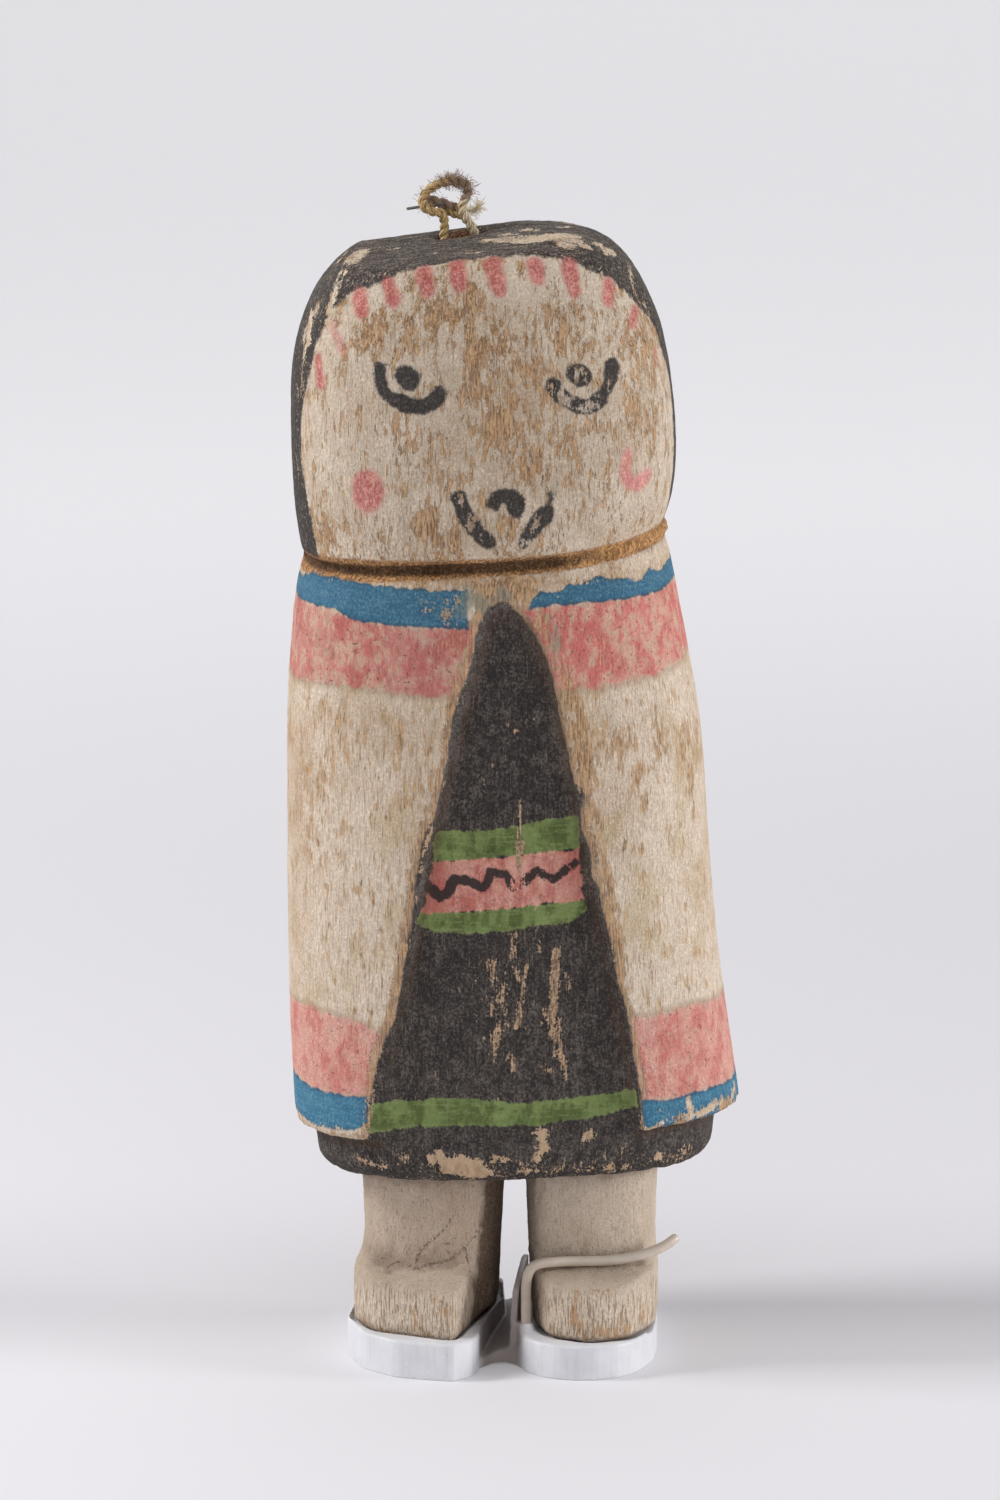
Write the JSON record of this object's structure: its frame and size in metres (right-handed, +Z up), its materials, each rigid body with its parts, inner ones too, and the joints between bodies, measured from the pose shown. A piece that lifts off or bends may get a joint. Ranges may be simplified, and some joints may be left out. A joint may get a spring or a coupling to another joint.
{
  "type": "kachina doll on a museum mount",
  "caption": "Carved and painted wooden doll in a shawl, with a hanging string in its head, standing on a low metal mount with a wire clip.",
  "frame": {"origin": "on the floor, below the middle of the doll and its mount", "axes": "+Z up, the doll faces -Y, +X is to the viewer's right"},
  "size_m": [0.0925, 0.0648, 0.2418],
  "materials": {
    "painted_wood": "matte mineral paint, worn to the bare wood in places",
    "plant_fibre": "twisted plant fibre, frayed",
    "dry_quill": "dry grey quill",
    "white_paint": "satin white paint on filed metal",
    "sleeve_plastic": "translucent grey-beige tubing"
  },
  "bodies": {
    "root": {"doll": "painted_wood", "hanging_string": "plant_fibre", "quill_stub": "dry_quill", "mount_base": "white_paint", "mount_clip": "sleeve_plastic"}
  },
  "joints": []
}
